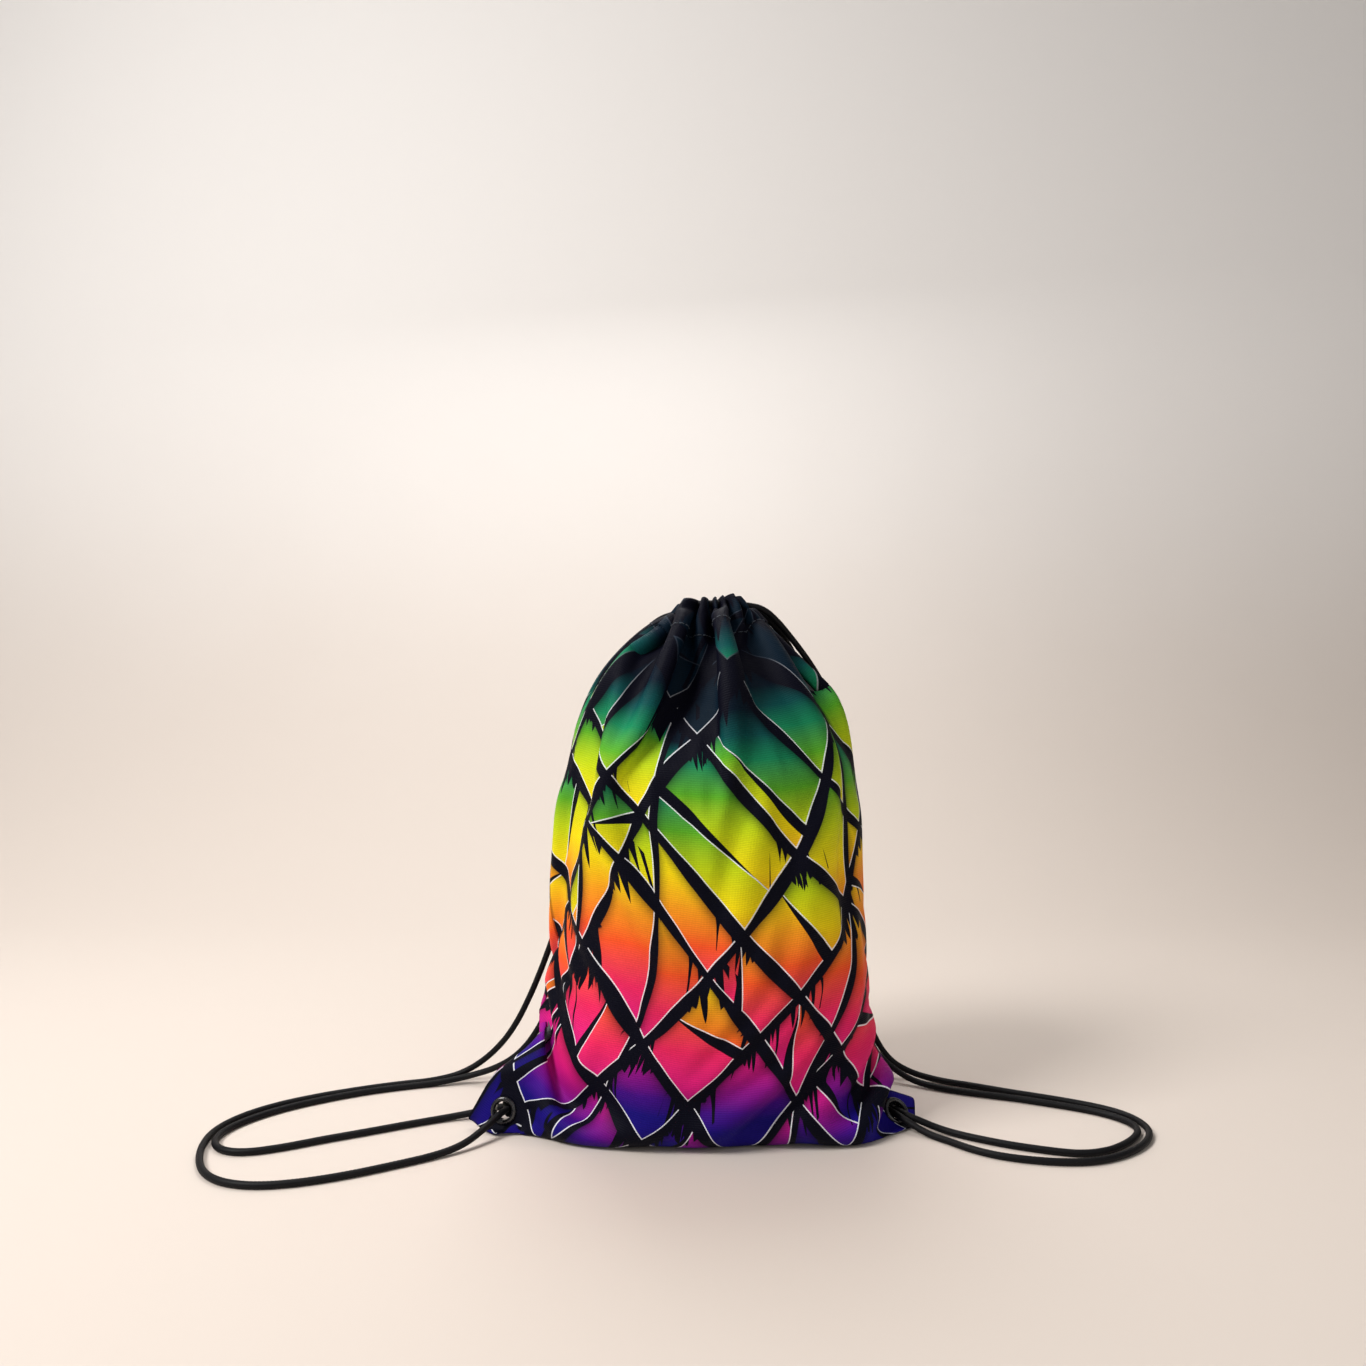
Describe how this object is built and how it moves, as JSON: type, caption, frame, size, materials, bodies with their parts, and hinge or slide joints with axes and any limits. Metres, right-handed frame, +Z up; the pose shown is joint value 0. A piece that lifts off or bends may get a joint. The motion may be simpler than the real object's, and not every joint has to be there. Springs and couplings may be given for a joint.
{
  "type": "drawstring gym sack",
  "caption": "Drawstring gym sack standing filled: printed cloth body, gathered mouth, corner eyelets, and doubled braided drawcords that serve as shoulder loops.",
  "frame": {"origin": "middle of the bag's footprint, on the surface it stands on, measured without the drawcords and their knots", "axes": "+X to the bag's right seen from the front, +Y from the front panel to the back panel, +Z up"},
  "size_m": [0.6892, 0.2046, 0.3982],
  "materials": {
    "front_cloth": "satin",
    "back_cloth": "satin",
    "hem_cloth": "satin",
    "corner_cloth": "satin",
    "overlock_thread": "matte",
    "stitch_thread": "satin",
    "braided_cord": "satin",
    "eyelet_metal": "gloss"
  },
  "bodies": {
    "root": {"front_panel": "front_cloth", "back_panel": "back_cloth", "front_hem_channel": "hem_cloth", "back_hem_channel": "hem_cloth", "left_corner_tab": "corner_cloth", "right_corner_tab": "corner_cloth", "left_seam_overlock": "overlock_thread", "right_seam_overlock": "overlock_thread", "bottom_seam_overlock": "overlock_thread", "front_channel_stitching": "stitch_thread", "back_channel_stitching": "stitch_thread", "left_eyelet": "eyelet_metal", "right_eyelet": "eyelet_metal", "left_eyelet_washer": "eyelet_metal", "right_eyelet_washer": "eyelet_metal", "left_drawcord": "braided_cord", "right_drawcord": "braided_cord", "left_knot": "braided_cord", "right_knot": "braided_cord"}
  },
  "joints": []
}
